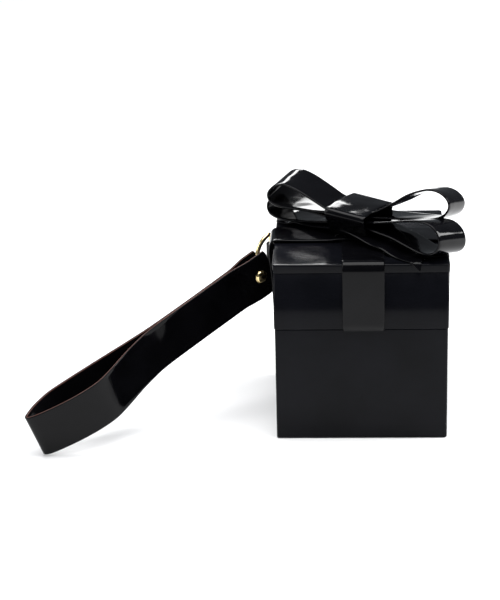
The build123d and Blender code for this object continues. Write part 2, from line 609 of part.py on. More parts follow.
def strap_layer(side, thickness):
    """One layer of the strap, on one side of its route, with rounded ends and the rivet's hole."""
    with BuildPart() as layer:
        with BuildSketch(strap_plane):
            with BuildLine() as route:
                FilletPolyline(*[(along, height) for along, height, _ in STRAP_ROUTE],
                               radius=[radius for _, _, radius in STRAP_ROUTE[1:-1]])
                offset(amount=thickness / 2, side=side, closed=False, mode=Mode.REPLACE)
            trace(route.wires()[0], line_width=thickness)
        extrude(amount=STRAP_WIDTH / 2, both=True)
        with BuildSketch(face_plane) as outline:
            with Locations(((FLAP_END + LOOP_END + 20) / 2, 0)):
                Rectangle(LOOP_END + 20 - FLAP_END, STRAP_WIDTH + 2)
            fillet(outline.vertices().sort_by(Axis(strap_origin, strap_along))[:2], END_ROUNDING + 1)
        extrude(amount=40, both=True, mode=Mode.INTERSECT)
        with Locations(Plane(origin=rivet_point, z_dir=ring_normal)):
            Cylinder(RIVET_RADIUS + 0.05, 12, mode=Mode.SUBTRACT)
    return layer


save(strap_layer(Side.RIGHT, STRAP_SKIN), "strap_skin")
save(strap_layer(Side.LEFT, STRAP_LINING), "strap_lining")

# A narrow leather tongue, riveted between the strap's two ends, goes round the ring.
TONGUE_LOW = -3.0
TONGUE_HIGH = 7.0
TONGUE_END = RIVET_REACH + 2.8
wire_near = sqrt(RING_ARC_RADIUS**2 - (TONGUE_LOW + STRAP_SLIP)**2)
tongue_y = WIRE_RADIUS + HINGE_CLEARANCE + TONGUE / 2
with BuildPart() as strap_tongue:
    with BuildSketch(strap_plane.offset(-TONGUE_HIGH)):
        with BuildLine() as tongue_line:
            Line((TONGUE_END, -tongue_y), (wire_near, -tongue_y))
            CenterArc((wire_near, 0), tongue_y, 90, 180)
            Line((wire_near, tongue_y), (TONGUE_END, tongue_y))
        trace(tongue_line.wires()[0], line_width=TONGUE)
    extrude(amount=TONGUE_HIGH - TONGUE_LOW)
    with Locations(Plane(origin=rivet_point, z_dir=ring_normal)):
        Cylinder(RIVET_RADIUS + 0.05, 12, mode=Mode.SUBTRACT)
save(strap_tongue, "strap_tongue")

STACK = NEAR + STRAP_SKIN                # from the strap's middle to its outside at the rivet
CAP_RADIUS = 4.0
front_face = Plane(origin=rivet_point - ring_normal * STACK, z_dir=-ring_normal)
with BuildPart() as strap_rivet:
    with BuildSketch(front_face):
        Circle(RIVET_RADIUS)
    extrude(amount=-2 * STACK)
    with BuildSketch(front_face):
        Circle(CAP_RADIUS)
    extrude(amount=1.4, taper=40)
save(strap_rivet, "strap_rivet")

with BuildPart() as strap_rivet_back:
    with BuildSketch(Plane(origin=rivet_point + ring_normal * STACK, z_dir=ring_normal)):
        Circle(CAP_RADIUS - 0.4)
    extrude(amount=0.8, taper=30)
save(strap_rivet_back, "strap_rivet_back")
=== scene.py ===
import math

import bmesh
import bpy
import numpy as np
from mathutils import Matrix, Vector


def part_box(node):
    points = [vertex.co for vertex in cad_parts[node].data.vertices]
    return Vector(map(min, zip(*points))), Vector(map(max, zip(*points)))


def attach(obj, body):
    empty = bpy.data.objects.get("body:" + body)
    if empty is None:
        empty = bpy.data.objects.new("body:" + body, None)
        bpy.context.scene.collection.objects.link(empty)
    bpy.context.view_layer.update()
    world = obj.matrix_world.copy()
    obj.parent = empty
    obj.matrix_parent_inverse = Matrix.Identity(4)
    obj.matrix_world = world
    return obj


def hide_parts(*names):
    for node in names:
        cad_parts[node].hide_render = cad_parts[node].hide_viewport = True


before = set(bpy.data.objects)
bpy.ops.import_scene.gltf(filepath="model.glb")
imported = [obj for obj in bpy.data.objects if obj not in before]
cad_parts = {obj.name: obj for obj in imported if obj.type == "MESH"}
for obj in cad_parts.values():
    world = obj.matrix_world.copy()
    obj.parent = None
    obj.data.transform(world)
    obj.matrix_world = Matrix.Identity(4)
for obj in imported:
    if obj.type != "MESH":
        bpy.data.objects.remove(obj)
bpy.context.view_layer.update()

# ---- Studio: camera, floor and lights ----------------------------------------------------
# The box stands on a seamless white table. The camera looks down at its front from about a
# metre away. A large soft light hangs overhead, with one at each side and a strip behind.

MM = 0.001
CAMERA_PLACE = Vector((-8.8, -1041.6, 455.5)) * MM
CAMERA_YAW = math.radians(-3.14)       # from straight along +Y, towards +X
CAMERA_PITCH = math.radians(20.38)     # down from level
CAMERA_ROLL = math.radians(-1.51)
CAMERA_LENS = 111.6
CAMERA_SENSOR = 36

ahead = Vector((math.sin(CAMERA_YAW) * math.cos(CAMERA_PITCH),
                math.cos(CAMERA_YAW) * math.cos(CAMERA_PITCH), -math.sin(CAMERA_PITCH)))
level_right = Vector((math.cos(CAMERA_YAW), -math.sin(CAMERA_YAW), 0))
level_up = level_right.cross(ahead)
right = math.cos(CAMERA_ROLL) * level_right + math.sin(CAMERA_ROLL) * level_up
up = right.cross(ahead)

camera_data = bpy.data.cameras.new("camera")
camera_data.sensor_width = CAMERA_SENSOR
camera_data.lens = CAMERA_LENS
camera = bpy.data.objects.new("camera", camera_data)
camera.matrix_world = Matrix((
    (right.x, up.x, -ahead.x, CAMERA_PLACE.x),
    (right.y, up.y, -ahead.y, CAMERA_PLACE.y),
    (right.z, up.z, -ahead.z, CAMERA_PLACE.z),
    (0, 0, 0, 1)))
bpy.context.collection.objects.link(camera)
bpy.context.scene.camera = camera


def new_material(name):
    """An empty material, its nodes and links, and its shader."""
    material = bpy.data.materials.new(name)
    material.use_nodes = True
    nodes = material.node_tree.nodes
    return material, nodes, material.node_tree.links, nodes["Principled BSDF"]


def grain(nodes, links, size, detail=2.0, stretch=(1, 1, 1), roughness=0.5):
    """Noise whose spots are about size metres across, fixed to the piece."""
    place = nodes.new("ShaderNodeTexCoord")
    turn = nodes.new("ShaderNodeMapping")
    turn.inputs["Scale"].default_value = stretch
    noise = nodes.new("ShaderNodeTexNoise")
    noise.inputs["Scale"].default_value = 1 / size
    noise.inputs["Detail"].default_value = detail
    noise.inputs["Roughness"].default_value = roughness
    links.new(place.outputs["Object"], turn.inputs["Vector"])
    links.new(turn.outputs["Vector"], noise.inputs["Vector"])
    return noise.outputs["Fac"]


def ramp(nodes, links, fac, low, high, start=0.3, end=0.7):
    """Two colours, blended by fac between start and end."""
    blend = nodes.new("ShaderNodeValToRGB")
    blend.color_ramp.elements[0].position = start
    blend.color_ramp.elements[0].color = (*low, 1)
    blend.color_ramp.elements[1].position = end
    blend.color_ramp.elements[1].color = (*high, 1)
    links.new(fac, blend.inputs["Fac"])
    return blend.outputs["Color"]


def spread(nodes, links, fac, low, high):
    """A number between low and high, following fac."""
    span = nodes.new("ShaderNodeMapRange")
    span.inputs["To Min"].default_value = low
    span.inputs["To Max"].default_value = high
    links.new(fac, span.inputs["Value"])
    return span.outputs["Result"]


def relief(nodes, links, height, depth, below=None):
    """A bump of depth metres, on top of the bump below it."""
    bump = nodes.new("ShaderNodeBump")
    bump.inputs["Strength"].default_value = 1.0
    bump.inputs["Distance"].default_value = depth
    links.new(height, bump.inputs["Height"])
    if below:
        links.new(below, bump.inputs["Normal"])
    return bump.outputs["Normal"]


TABLE_SIZE = 8
TABLE_GAP = 0.0002         # keeps the table's face clear of the box's underside

table_top, nodes, links, shader = new_material("white_table")
links.new(ramp(nodes, links, grain(nodes, links, 0.3), (0.86, 0.86, 0.865), (0.9, 0.9, 0.9)),
          shader.inputs["Base Color"])
shader.inputs["Roughness"].default_value = 0.6
shader.inputs["Specular IOR Level"].default_value = 0.2

bpy.ops.mesh.primitive_plane_add(size=TABLE_SIZE, location=(0, 0, -TABLE_GAP))
table = bpy.context.object
table.name = "table"
table.data.materials.append(table_top)

world = bpy.data.worlds.new("studio")
bpy.context.scene.world = world
world.use_nodes = True
nodes, links = world.node_tree.nodes, world.node_tree.links
dim_room = nodes["Background"]
dim_room.inputs["Color"].default_value = (0.85, 0.92, 1.0, 1)
dim_room.inputs["Strength"].default_value = 0.15
pale_wall = nodes.new("ShaderNodeBackground")
pale_wall.inputs["Color"].default_value = (0.95, 0.95, 0.955, 1)
seen = nodes.new("ShaderNodeLightPath")
either = nodes.new("ShaderNodeMixShader")
links.new(seen.outputs["Is Camera Ray"], either.inputs["Fac"])
links.new(dim_room.outputs["Background"], either.inputs[1])
links.new(pale_wall.outputs["Background"], either.inputs[2])
links.new(either.outputs["Shader"], nodes["World Output"].inputs["Surface"])
bpy.context.scene.view_settings.view_transform = "Standard"


def softbox(name, place, aim, size, power):
    """A rectangular lamp at place, facing aim."""
    light = bpy.data.lights.new(name, "AREA")
    light.shape = "RECTANGLE"
    light.size, light.size_y = size
    light.energy = power
    lamp = bpy.data.objects.new(name, light)
    lamp.location = place
    lamp.rotation_euler = (Vector(aim) - Vector(place)).to_track_quat("-Z", "Y").to_euler()
    bpy.context.collection.objects.link(lamp)


softbox("overhead", (0.0, -0.1, 1.5), (0, 0, 0), (1.7, 1.3), 36)
softbox("left_window", (-1.25, -0.35, 0.7), (0, 0, 0.05), (0.5, 0.8), 6)
softbox("right_window", (1.2, 0.1, 0.75), (0, 0, 0.08), (0.6, 0.7), 22)
softbox("back_strip", (-0.35, 1.3, 0.8), (0, 0, 0.1), (0.8, 0.2), 7)

# ---- Base: wrapped greyboard box ---------------------------------------------------------
# A greyboard tray of four walls and a floor, wrapped outside in thin black patent vinyl. The
# wrap is glued down, folds round the bottom edge and turns in over the rim.


def dress(material, *names):
    """Gives CAD pieces their finish."""
    for name in names:
        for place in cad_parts[name].material_slots:
            place.material = material


def square_ring(half, corner, steps=8):
    """Points round a square with rounded corners, in the XY plane."""
    points = []
    for quarter in range(4):
        start = quarter * math.pi / 2
        middle = Vector((half - corner, half - corner, 0))
        middle.rotate(Matrix.Rotation(start, 3, "Z"))
        for step in range(steps + 1):
            angle = start + step / steps * math.pi / 2
            points.append((middle.x + corner * math.cos(angle), middle.y + corner * math.sin(angle)))
    return points


def make_piece(name, mesh, body, material, slot, *stands_for):
    """Puts a finished mesh on its body, in place of the CAD pieces that it stands for."""
    piece = bpy.data.objects.new(name, mesh)
    bpy.context.collection.objects.link(piece)
    mesh.materials.append(material)
    mesh.polygons.foreach_set("use_smooth", [True] * len(mesh.polygons))
    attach(piece, body)
    if stands_for:
        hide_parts(*stands_for)
    return piece


def folded_wrap(name, half, corner, profile, capped=False):
    """A sheet folded round a square box: profile is a closed line of (inset, height), in millimetres."""
    builder = bmesh.new()
    rings = []
    for inset, z in profile:
        ring = square_ring(half - inset, max(corner - inset, 0.05))
        rings.append([builder.verts.new((x * MM, y * MM, z * MM)) for x, y in ring])
    count = len(rings[0])
    pairs = list(zip(rings, rings[1:])) + ([] if capped else [(rings[-1], rings[0])])
    for low, high in pairs:
        for index in range(count):
            after = (index + 1) % count
            builder.faces.new((low[index], low[after], high[after], high[index]))
    if capped:
        builder.faces.new(rings[0][::-1])
        builder.faces.new(rings[-1])
    bmesh.ops.recalc_face_normals(builder, faces=builder.faces)
    mesh = bpy.data.meshes.new(name)
    builder.to_mesh(mesh)
    builder.free()
    return mesh


def eased_edge(inset, z, radius, start, steps=4):
    """A quarter round about (inset, z), from the angle start, in degrees."""
    angles = [math.radians(start + 90 * step / steps) for step in range(steps + 1)]
    return [(inset - radius * math.cos(angle), z + radius * math.sin(angle)) for angle in angles]


patent_wrap, nodes, links, shader = new_material("patent_wrap")
cloudy = grain(nodes, links, 0.03, 3)
links.new(ramp(nodes, links, cloudy, (0.0022, 0.0024, 0.0034), (0.0042, 0.0044, 0.0062)),
          shader.inputs["Base Color"])
links.new(spread(nodes, links, grain(nodes, links, 0.012, 4), 0.14, 0.24), shader.inputs["Roughness"])
wobble = relief(nodes, links, grain(nodes, links, 0.028, 1), 0.00012)
links.new(relief(nodes, links, grain(nodes, links, 0.0009, 2), 0.000006, wobble), shader.inputs["Normal"])
shader.inputs["Specular IOR Level"].default_value = 0.07
shader.inputs["Coat Weight"].default_value = 0.03
shader.inputs["Coat Roughness"].default_value = 0.04

BASE_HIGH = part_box("base_wrap")[1]
BASE_HALF = BASE_HIGH.x / MM
SEAM = BASE_HIGH.z / MM
WRAP = 0.8
CORNER = 1.6
FOOT_EDGE = 0.7            # how softly the wrap bends round the bottom edge
RIM_EDGE = 0.55            # and over a rim
TURNED_UNDER = 11.6        # how far the wrap folds in under the box
base_profile = (eased_edge(FOOT_EDGE, FOOT_EDGE, FOOT_EDGE, -90)
                + eased_edge(RIM_EDGE, SEAM - RIM_EDGE, RIM_EDGE, 0)
                + [(WRAP, SEAM), (WRAP, WRAP), (TURNED_UNDER, WRAP), (TURNED_UNDER, 0)])
make_piece("base_wrap_folded", folded_wrap("base_wrap_folded", BASE_HALF, CORNER, base_profile), "base",
           patent_wrap, "patent", "base_wrap")

# The wrap's turned-in edge covers the board's rim, so a black strip shows there when the lid is up.
rim_wrap, nodes, links, shader = new_material("wrapped_rim")
links.new(ramp(nodes, links, grain(nodes, links, 0.004, 3), (0.006, 0.006, 0.007), (0.011, 0.011, 0.012)),
          shader.inputs["Base Color"])
links.new(spread(nodes, links, grain(nodes, links, 0.003, 3), 0.3, 0.45), shader.inputs["Roughness"])
links.new(relief(nodes, links, grain(nodes, links, 0.002, 2), 0.00002), shader.inputs["Normal"])
dress(rim_wrap, "base_board")

# A square of matt black paper covers the turned-in edges on the underside.
bottom_paper, nodes, links, shader = new_material("bottom_paper")
fibres = grain(nodes, links, 0.0006, 6, (1, 1, 1), 0.7)
links.new(ramp(nodes, links, fibres, (0.012, 0.012, 0.013), (0.028, 0.028, 0.03)),
          shader.inputs["Base Color"])
links.new(relief(nodes, links, fibres, 0.00004), shader.inputs["Normal"])
shader.inputs["Roughness"].default_value = 0.85
dress(bottom_paper, "base_bottom_sheet")

# ---- Collar, ledges and catch ------------------------------------------------------------
# A board collar covered in suede paper is glued inside the base and stands up into the lid.
# Two strips on its sides carry the tray, and steel keepers in its front face the lid's magnets.


def suede(name, dark, light):
    """Short brushed pile: a soft colour that shifts where the nap lies another way."""
    material, nodes, links, shader = new_material(name)
    nap = grain(nodes, links, 0.011, 3)
    links.new(ramp(nodes, links, nap, dark, light, 0.25, 0.75), shader.inputs["Base Color"])
    pile = grain(nodes, links, 0.00035, 4, (1, 1, 1), 0.75)
    links.new(relief(nodes, links, pile, 0.00009), shader.inputs["Normal"])
    shader.inputs["Roughness"].default_value = 0.95
    shader.inputs["Specular IOR Level"].default_value = 0.15
    shader.inputs["Sheen Weight"].default_value = 0.35
    shader.inputs["Sheen Roughness"].default_value = 0.4
    shader.inputs["Sheen Tint"].default_value = (*light, 1)
    return material


suede_paper = suede("suede_paper", (0.115, 0.075, 0.052), (0.185, 0.125, 0.088))
taupe_suede = suede("taupe_suede", (0.20, 0.145, 0.105), (0.30, 0.225, 0.165))
dress(suede_paper, "neck_collar", "tray_ledges")

nickel, nodes, links, shader = new_material("nickel")
scratches = grain(nodes, links, 0.0006, 4, (1, 8, 1))
links.new(ramp(nodes, links, scratches, (0.30, 0.295, 0.285), (0.44, 0.43, 0.415)),
          shader.inputs["Base Color"])
links.new(spread(nodes, links, scratches, 0.22, 0.38), shader.inputs["Roughness"])
links.new(relief(nodes, links, scratches, 0.000004), shader.inputs["Normal"])
shader.inputs["Metallic"].default_value = 1.0
dress(nickel, "collar_keepers")

# ---- Foam pads in suede ------------------------------------------------------------------
# Foam wrapped in suede: a thin pad on the base's floor, one in each well, a thick one in the
# lid, and six rolls that grip rings between them. Each swells against its cover.

SWELL_SCALE = 10           # the pads are inflated at ten times their size, where cloth behaves
AIR_PRESSURE = 4
SWELL_FRAMES = 20
SQUASH = 0.6               # a pad starts smaller by this share of its swelling on each side
MOST_SQUASH = 0.2          # but never by more than this share of its size
GLUED = 0.7                # the outer part of its height that stays flat where it is glued


def swollen(name, node, body, voxel, most, flat_side=None, island=None):
    """A pad made from a CAD solid: remeshed at voxel millimetres, inflated, and moved by most at most."""
    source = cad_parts[node].data
    mesh = bpy.data.meshes.new(name)
    builder = bmesh.new()
    builder.from_mesh(source)
    if island:
        others = [vert for vert in builder.verts if not island(vert.co)]
        bmesh.ops.delete(builder, geom=others, context="VERTS")
    low = [min(vert.co[axis] for vert in builder.verts) for axis in range(3)]
    high = [max(vert.co[axis] for vert in builder.verts) for axis in range(3)]
    middle = Vector([(a + b) / 2 for a, b in zip(low, high)])
    builder.transform(Matrix.Translation(-middle))
    shrink = [1 - 2 * min(most * MM * SQUASH, (b - a) * MOST_SQUASH) / (b - a) for a, b in zip(low, high)]
    builder.transform(Matrix.Diagonal((*[part * SWELL_SCALE for part in shrink], 1)))
    builder.to_mesh(mesh)
    builder.free()
    pad = bpy.data.objects.new(name, mesh)
    bpy.context.collection.objects.link(pad)
    remesh = pad.modifiers.new("remesh", "REMESH")
    remesh.mode = "VOXEL"
    remesh.voxel_size = voxel * MM * SWELL_SCALE
    apply_modifiers(pad)
    before = np.array([vert.co for vert in pad.data.vertices])
    cloth = pad.modifiers.new("cloth", "CLOTH")
    cloth.settings.use_pressure = True
    cloth.settings.uniform_pressure_force = AIR_PRESSURE
    cloth.settings.effector_weights.gravity = 0
    for moment in range(1, SWELL_FRAMES + 1):
        bpy.context.scene.frame_set(moment)
    apply_modifiers(pad)
    bpy.context.scene.frame_set(1)
    after = np.array([vert.co for vert in pad.data.vertices])
    move = after - before
    reach = np.linalg.norm(move, axis=1, keepdims=True)
    limit = most * MM * SWELL_SCALE
    after = (before + move * np.minimum(1, limit / np.maximum(reach, 1e-9))) / SWELL_SCALE
    after += np.array(middle)
    crown = most * MM if flat_side != "top" else 0
    after = np.clip(after, np.array(low), np.array(high) + np.array([0, 0, crown]))
    if flat_side == "bottom":
        after[:, 2] = np.where(before[:, 2] < before[:, 2].min() * GLUED, low[2], after[:, 2])
    if flat_side == "top":
        after[:, 2] = np.where(before[:, 2] > before[:, 2].max() * GLUED, high[2], after[:, 2])
    pad.data.vertices.foreach_set("co", after.astype(np.float32).ravel())
    smooth = pad.modifiers.new("smooth", "CORRECTIVE_SMOOTH")
    smooth.iterations = 6
    smooth.use_only_smooth = True
    refine = pad.modifiers.new("refine", "SUBSURF")
    refine.levels = refine.render_levels = 1
    apply_modifiers(pad)
    pad.data.materials.clear()
    return finish_pad(pad, body, node)


def apply_modifiers(piece):
    """Leaves the piece as the mesh that its modifiers make."""
    seen = piece.evaluated_get(bpy.context.evaluated_depsgraph_get())
    made = bpy.data.meshes.new_from_object(seen)
    piece.modifiers.clear()
    piece.data = made


def finish_pad(pad, body, node):
    pad.data.materials.append(taupe_suede)
    pad.data.polygons.foreach_set("use_smooth", [True] * len(pad.data.polygons))
    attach(pad, body)
    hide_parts(node)
    return pad


swollen("floor_pad", "base_floor_pad", "base", 1.2, 0.8, "bottom")
swollen("front_well_pad", "tray_well_pads", "tray", 1.0, 1.4, "bottom", lambda place: place.y < 0)
swollen("back_well_pad", "tray_well_pads", "tray", 1.0, 1.4, "bottom", lambda place: place.y > 0)
for index in range(6):
    swollen(f"roll_{index + 1}", f"ring_roll_{index + 1}", "tray", 0.9, 0.5, "bottom")
swollen("lid_cushion", "lid_pad", "lid", 1.3, 1.6, "top")

# ---- Lift-out tray -----------------------------------------------------------------------
# A board tray covered in suede, parted by a T-shaped divider, with a loop of satin ribbon
# glued inside its right wall to lift it by.

dress(taupe_suede, "tray_box", "tray_divider")

satin, nodes, links, shader = new_material("satin")
threads = grain(nodes, links, 0.0005, 3, (1, 1, 12))
links.new(ramp(nodes, links, threads, (0.20, 0.13, 0.09), (0.29, 0.20, 0.14)), shader.inputs["Base Color"])
links.new(relief(nodes, links, threads, 0.00002), shader.inputs["Normal"])
shader.inputs["Roughness"].default_value = 0.38
shader.inputs["Sheen Weight"].default_value = 0.3
dress(satin, "tray_pull_tab")

# ---- Lid: wrapped greyboard cap ----------------------------------------------------------
# The same board and patent as the base, wrapped in two pieces: one round the sides, and one
# over the top that turns down 5 mm and leaves a fine step. Suede lines it, and two magnets
# in its front wall hold it shut.

dress(rim_wrap, "lid_board")
dress(taupe_suede, "lid_lining")
dress(nickel, "lid_magnets")

LID_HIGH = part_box("lid_side_wrap")[1]
LID_HALF = LID_HIGH.x / MM
LID_BOARD_TOP = LID_HIGH.z / MM
side_profile = (eased_edge(RIM_EDGE, SEAM + RIM_EDGE, RIM_EDGE, -90)
                + [(0, LID_BOARD_TOP), (WRAP, LID_BOARD_TOP), (WRAP, SEAM)])
make_piece("lid_side_wrap_folded", folded_wrap("lid_side_wrap_folded", LID_HALF, CORNER, side_profile), "lid",
           patent_wrap, "patent", "lid_side_wrap")

TOP_LOW, TOP_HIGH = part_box("lid_top_wrap")
TOP_HALF = TOP_HIGH.x / MM
TOP = TOP_HIGH.z / MM
SKIRT = TOP_LOW.z / MM
TOP_SKIN = 0.35            # the top wrap where it is glued over the side wrap
TOP_EDGE = 0.8
FLAT_START, FLAT_INSIDE = 3, 12
top_profile = ([(FLAT_INSIDE, LID_BOARD_TOP), (TOP_SKIN, LID_BOARD_TOP), (TOP_SKIN, SKIRT), (0.12, SKIRT),
                (0, SKIRT + 0.15)]
               + eased_edge(TOP_EDGE, TOP - TOP_EDGE, TOP_EDGE, 0) + [(FLAT_START, TOP), (FLAT_INSIDE, TOP)])
top_wrap = folded_wrap("lid_top_wrap_folded", TOP_HALF, CORNER + 0.3, top_profile, True)
make_piece("lid_top_wrap_folded", top_wrap, "lid", patent_wrap, "patent", "lid_top_wrap")

# ---- Hinges ------------------------------------------------------------------------------
# Two small brass butt hinges turn on steel pins. Their leaves are duller than the domed nails
# that hold them to the back walls.


def metal(name, dark, light, roughness):
    """Polished metal with a little tarnish and fine wiping marks."""
    material, nodes, links, shader = new_material(name)
    links.new(ramp(nodes, links, grain(nodes, links, 0.003, 4), dark, light), shader.inputs["Base Color"])
    marks = grain(nodes, links, 0.0004, 4, (1, 5, 1))
    links.new(spread(nodes, links, marks, roughness * 0.7, roughness * 1.4), shader.inputs["Roughness"])
    links.new(relief(nodes, links, marks, 0.000003), shader.inputs["Normal"])
    shader.inputs["Metallic"].default_value = 1.0
    return material


brass = metal("brass", (0.86, 0.66, 0.30), (0.96, 0.80, 0.46), 0.15)
hinge_brass = metal("hinge_brass", (0.42, 0.29, 0.11), (0.58, 0.42, 0.19), 0.28)
dress(hinge_brass, "hinge_base_leaves", "hinge_lid_leaves")
dress(brass, "hinge_base_nails", "hinge_lid_nails")
dress(nickel, "hinge_pins")

# ---- Ribbon bands over the lid -----------------------------------------------------------
# Two 24 mm patent ribbons cross on the lid and end at its lower edge. The front-to-back one
# is glued flat; the left-to-right one lies over it and stands off the left wall a little.

RIBBON_WIDTH = 24.0
RIBBON = 1.2

patent_ribbon, nodes, links, shader = new_material("patent_ribbon")
cloudy = grain(nodes, links, 0.02, 3)
links.new(ramp(nodes, links, cloudy, (0.0012, 0.0012, 0.0016), (0.0026, 0.0026, 0.0034)),
          shader.inputs["Base Color"])
links.new(spread(nodes, links, grain(nodes, links, 0.01, 4), 0.05, 0.11), shader.inputs["Roughness"])
wobble = relief(nodes, links, grain(nodes, links, 0.016, 1), 0.0006)
links.new(relief(nodes, links, grain(nodes, links, 0.0012, 2), 0.000005, wobble), shader.inputs["Normal"])
shader.inputs["Specular IOR Level"].default_value = 0.09
shader.inputs["Coat Weight"].default_value = 0.1
shader.inputs["Coat Roughness"].default_value = 0.02


def unit(vectors):
    """The same vectors, each one long."""
    return vectors / np.linalg.norm(vectors, axis=-1, keepdims=True)


def through(points, steps=10):
    """A smooth line through all the points."""
    held = np.array(points, float)
    held = np.vstack([2 * held[0] - held[1], held, 2 * held[-1] - held[-2]])
    part = np.linspace(0, 1, steps, endpoint=False)[:, None]
    line = []
    for before, here, after, beyond in zip(held, held[1:], held[2:], held[3:]):
        line.append(here + (after - before) / 2 * part
                    + (before - 2.5 * here + 2 * after - beyond / 2) * part**2
                    + (1.5 * here - before / 2 - 1.5 * after + beyond / 2) * part**3)
    return np.vstack(line + [held[-2:-1]])


def bent(points, radii, steps=8):
    """Straight runs joined by arcs, with one radius for each inner point."""
    points = np.array(points, float)
    line = [points[0]]
    for before, corner, after, radius in zip(points, points[1:], points[2:], radii):
        back, on = unit(before - corner), unit(after - corner)
        half = math.acos(np.clip(back @ on, -1, 1)) / 2
        start, end = corner + back * radius / math.tan(half), corner + on * radius / math.tan(half)
        centre = corner + unit(back + on) * radius / math.sin(half)
        for share in np.linspace(0, 1, steps):
            spoke = unit((start - centre) * math.sin((1 - share) * (math.pi / 2 - half) * 2)
                         + (end - centre) * math.sin(share * (math.pi / 2 - half) * 2))
            line.append(centre + spoke * radius)
    return np.array(line + [points[-1]])


COLUMNS = 14               # points across a strip


def ribbon_mesh(name, middle, across, width, thickness, trim_start=None, trim_end=None, closed=False):
    """A strip with rounded edges along middle, whose width lies along across, in millimetres.

    trim_start and trim_end say how far back each column of the strip is cut, from its place
    across the width.
    """
    middle = np.array(middle, float)
    across = unit(np.broadcast_to(np.array(across, float), middle.shape))
    run = np.concatenate([[0], np.cumsum(np.linalg.norm(np.diff(middle, axis=0), axis=1))])
    if closed:
        ahead = unit(np.roll(middle[:-1], -1, axis=0) - np.roll(middle[:-1], 1, axis=0))
        ahead = np.vstack([ahead, ahead[:1]])
    else:
        ahead = unit(np.gradient(middle, axis=0))
    out = unit(np.cross(ahead, across))
    edge = thickness / 2
    flat = np.linspace(edge - width / 2, width / 2 - edge, COLUMNS)
    turn = [math.pi / 2 - step * math.pi / 6 for step in range(1, 6)]
    section = [(place, edge) for place in flat]
    section += [(width / 2 - edge + edge * math.cos(angle), edge * math.sin(angle)) for angle in turn]
    section += [(place, -edge) for place in flat[::-1]]
    section += [(edge - width / 2 - edge * math.cos(angle), -edge * math.sin(angle)) for angle in turn]
    rows = len(middle)
    lines = []
    for place, height in section:
        first = trim_start(place) if trim_start else 0
        last = run[-1] - (trim_end(place) if trim_end else 0)
        along = np.linspace(first, last, rows)
        at = [np.column_stack([np.interp(along, run, part[:, axis]) for axis in range(3)])
              for part in (middle, across, out)]
        lines.append(at[0] + at[1] * place + at[2] * height)
    grid = np.stack(lines, axis=1) * MM
    if closed:
        grid = grid[:-1]
    count = len(section)
    faces = []
    for row in range(len(grid) if closed else len(grid) - 1):
        nearer, further = row * count, (row + 1) % len(grid) * count
        for place in range(count):
            beside = (place + 1) % count
            faces.append((nearer + place, nearer + beside, further + beside, further + place))
    if not closed:
        for row, order in ((0, 1), (len(grid) - 1, -1)):
            start = row * count
            for place in range(COLUMNS - 1):
                here, opposite = start + place, start + 2 * COLUMNS + len(turn) - 1 - place
                faces.append((here, here + 1, opposite - 1, opposite)[::-order])
            for corner in (COLUMNS - 1, 2 * COLUMNS + len(turn) - 1):
                fan = [start + (corner + step) % count for step in range(len(turn) + 2)]
                faces.append(tuple(fan)[::-order])
    mesh = bpy.data.meshes.new(name)
    mesh.from_pydata(grid.reshape(-1, 3).tolist(), [], faces)
    mesh.update()
    builder = bmesh.new()
    builder.from_mesh(mesh)
    bmesh.ops.recalc_face_normals(builder, faces=builder.faces)
    builder.to_mesh(mesh)
    builder.free()
    return mesh


SIDE = TOP_HALF + RIBBON / 2
FLAT = TOP + RIBBON / 2
OVER = FLAT + RIBBON + 0.3
BAND_SHIFT = 1.3           # the flat band lies this far to the right of the middle
flat_band = bent([
    (-SIDE, SEAM - 0.4), (-SIDE - 0.25, SEAM + 20), (-SIDE, FLAT), (0, FLAT + 0.1), (SIDE, FLAT),
    (SIDE + 0.2, SEAM + 20), (SIDE, SEAM + 0.4)], [200, 1.3, 400, 1.3, 200])
flat_band = np.column_stack([np.full(len(flat_band), BAND_SHIFT), flat_band])
band = ribbon_mesh("front_back_band", flat_band, (1, 0, 0), RIBBON_WIDTH, RIBBON)
make_piece("front_back_band", band, "lid", patent_ribbon, "patent_ribbon", "band_front_back")

over_band = through([
    (-SIDE - 0.1, SEAM + 0.5), (-SIDE - 0.5, SEAM + 10), (-SIDE - 1.2, SEAM + 20), (-SIDE - 2.1, TOP - 10),
    (-SIDE - 2.3, TOP - 5), (-SIDE - 1.6, TOP - 0.6), (-SIDE + 0.4, FLAT + 0.9), (-SIDE + 4, FLAT + 1.0),
    (-32, FLAT + 0.7), (-18, FLAT + 0.9), (-12.5, OVER), (0, OVER + 0.1), (12.5, OVER), (20, FLAT + 0.7),
    (34, FLAT + 0.5), (SIDE - 3, FLAT + 0.4), (SIDE - 0.7, FLAT - 0.1), (SIDE + 0.2, TOP - 1.2),
    (SIDE + 0.4, TOP - 6), (SIDE + 0.5, SEAM + 20), (SIDE + 0.2, SEAM + 8), (SIDE, SEAM + 0.5)])
over_band = np.column_stack([over_band[:, 0], np.zeros(len(over_band)), over_band[:, 1]])
band = ribbon_mesh("left_right_band", over_band, (0, 1, 0), RIBBON_WIDTH, RIBBON)
make_piece("left_right_band", band, "lid", patent_ribbon, "patent_ribbon", "band_left_right")

# ---- Bow ---------------------------------------------------------------------------------
# Six strips of the same ribbon: a flat tail strip with forked ends, two lower loops, two
# upper loops, and a short band pulled round them all. A rivet holds the stack to the lid.

BOW_CENTRE = np.array([-1.4, 2.3, 0.0])
FORK = 9.0
TAIL_SHIFT = -4.4          # the tail strip lies this far towards the front


def level_direction(yaw):
    return np.array([math.cos(math.radians(yaw)), math.sin(math.radians(yaw)), 0.0])


